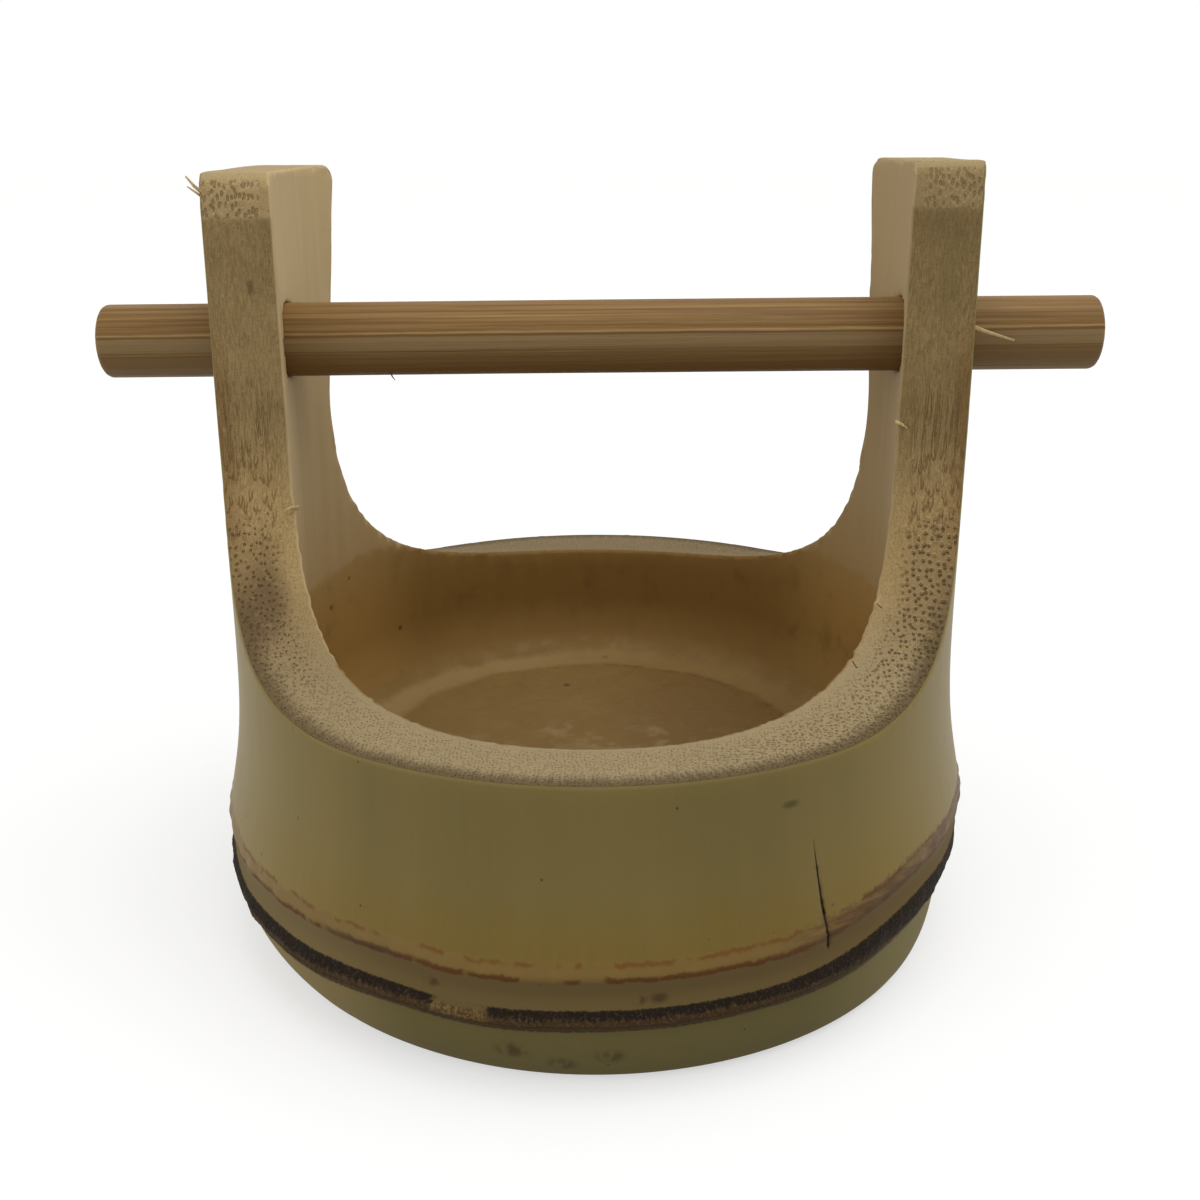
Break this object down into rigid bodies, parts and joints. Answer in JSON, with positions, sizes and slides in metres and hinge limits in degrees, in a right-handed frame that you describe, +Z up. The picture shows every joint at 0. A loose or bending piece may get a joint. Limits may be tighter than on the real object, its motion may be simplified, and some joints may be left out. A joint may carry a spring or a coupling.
{
  "type": "bamboo bucket",
  "caption": "Small bamboo bucket: a length of culm closed by its own node and saddle-cut to leave upright ears, with a plain dowel handle through them.",
  "frame": {"origin": "middle of the cut foot that the bucket stands on, under the middle of the handle", "axes": "+X along the handle from the wider ear to the narrower one, +Y to the back, where the ears widen, +Z up"},
  "size_m": [0.109, 0.0872, 0.0845],
  "materials": {
    "bamboo_culm": "natural culm skin outside, raw sanded cuts",
    "bamboo_dowel": "raw turned bamboo, split fibre lines along its length"
  },
  "bodies": {
    "cup": {"bamboo_cup": "bamboo_culm"},
    "rod": {"handle_rod": "bamboo_dowel"}
  },
  "joints": [
    {"name": "rod_turn", "type": "hinge", "parent": "cup", "child": "rod", "pos_m": [0, 0, 0.0666], "axis": [1, 0, 0.0081], "continuous": true}
  ]
}
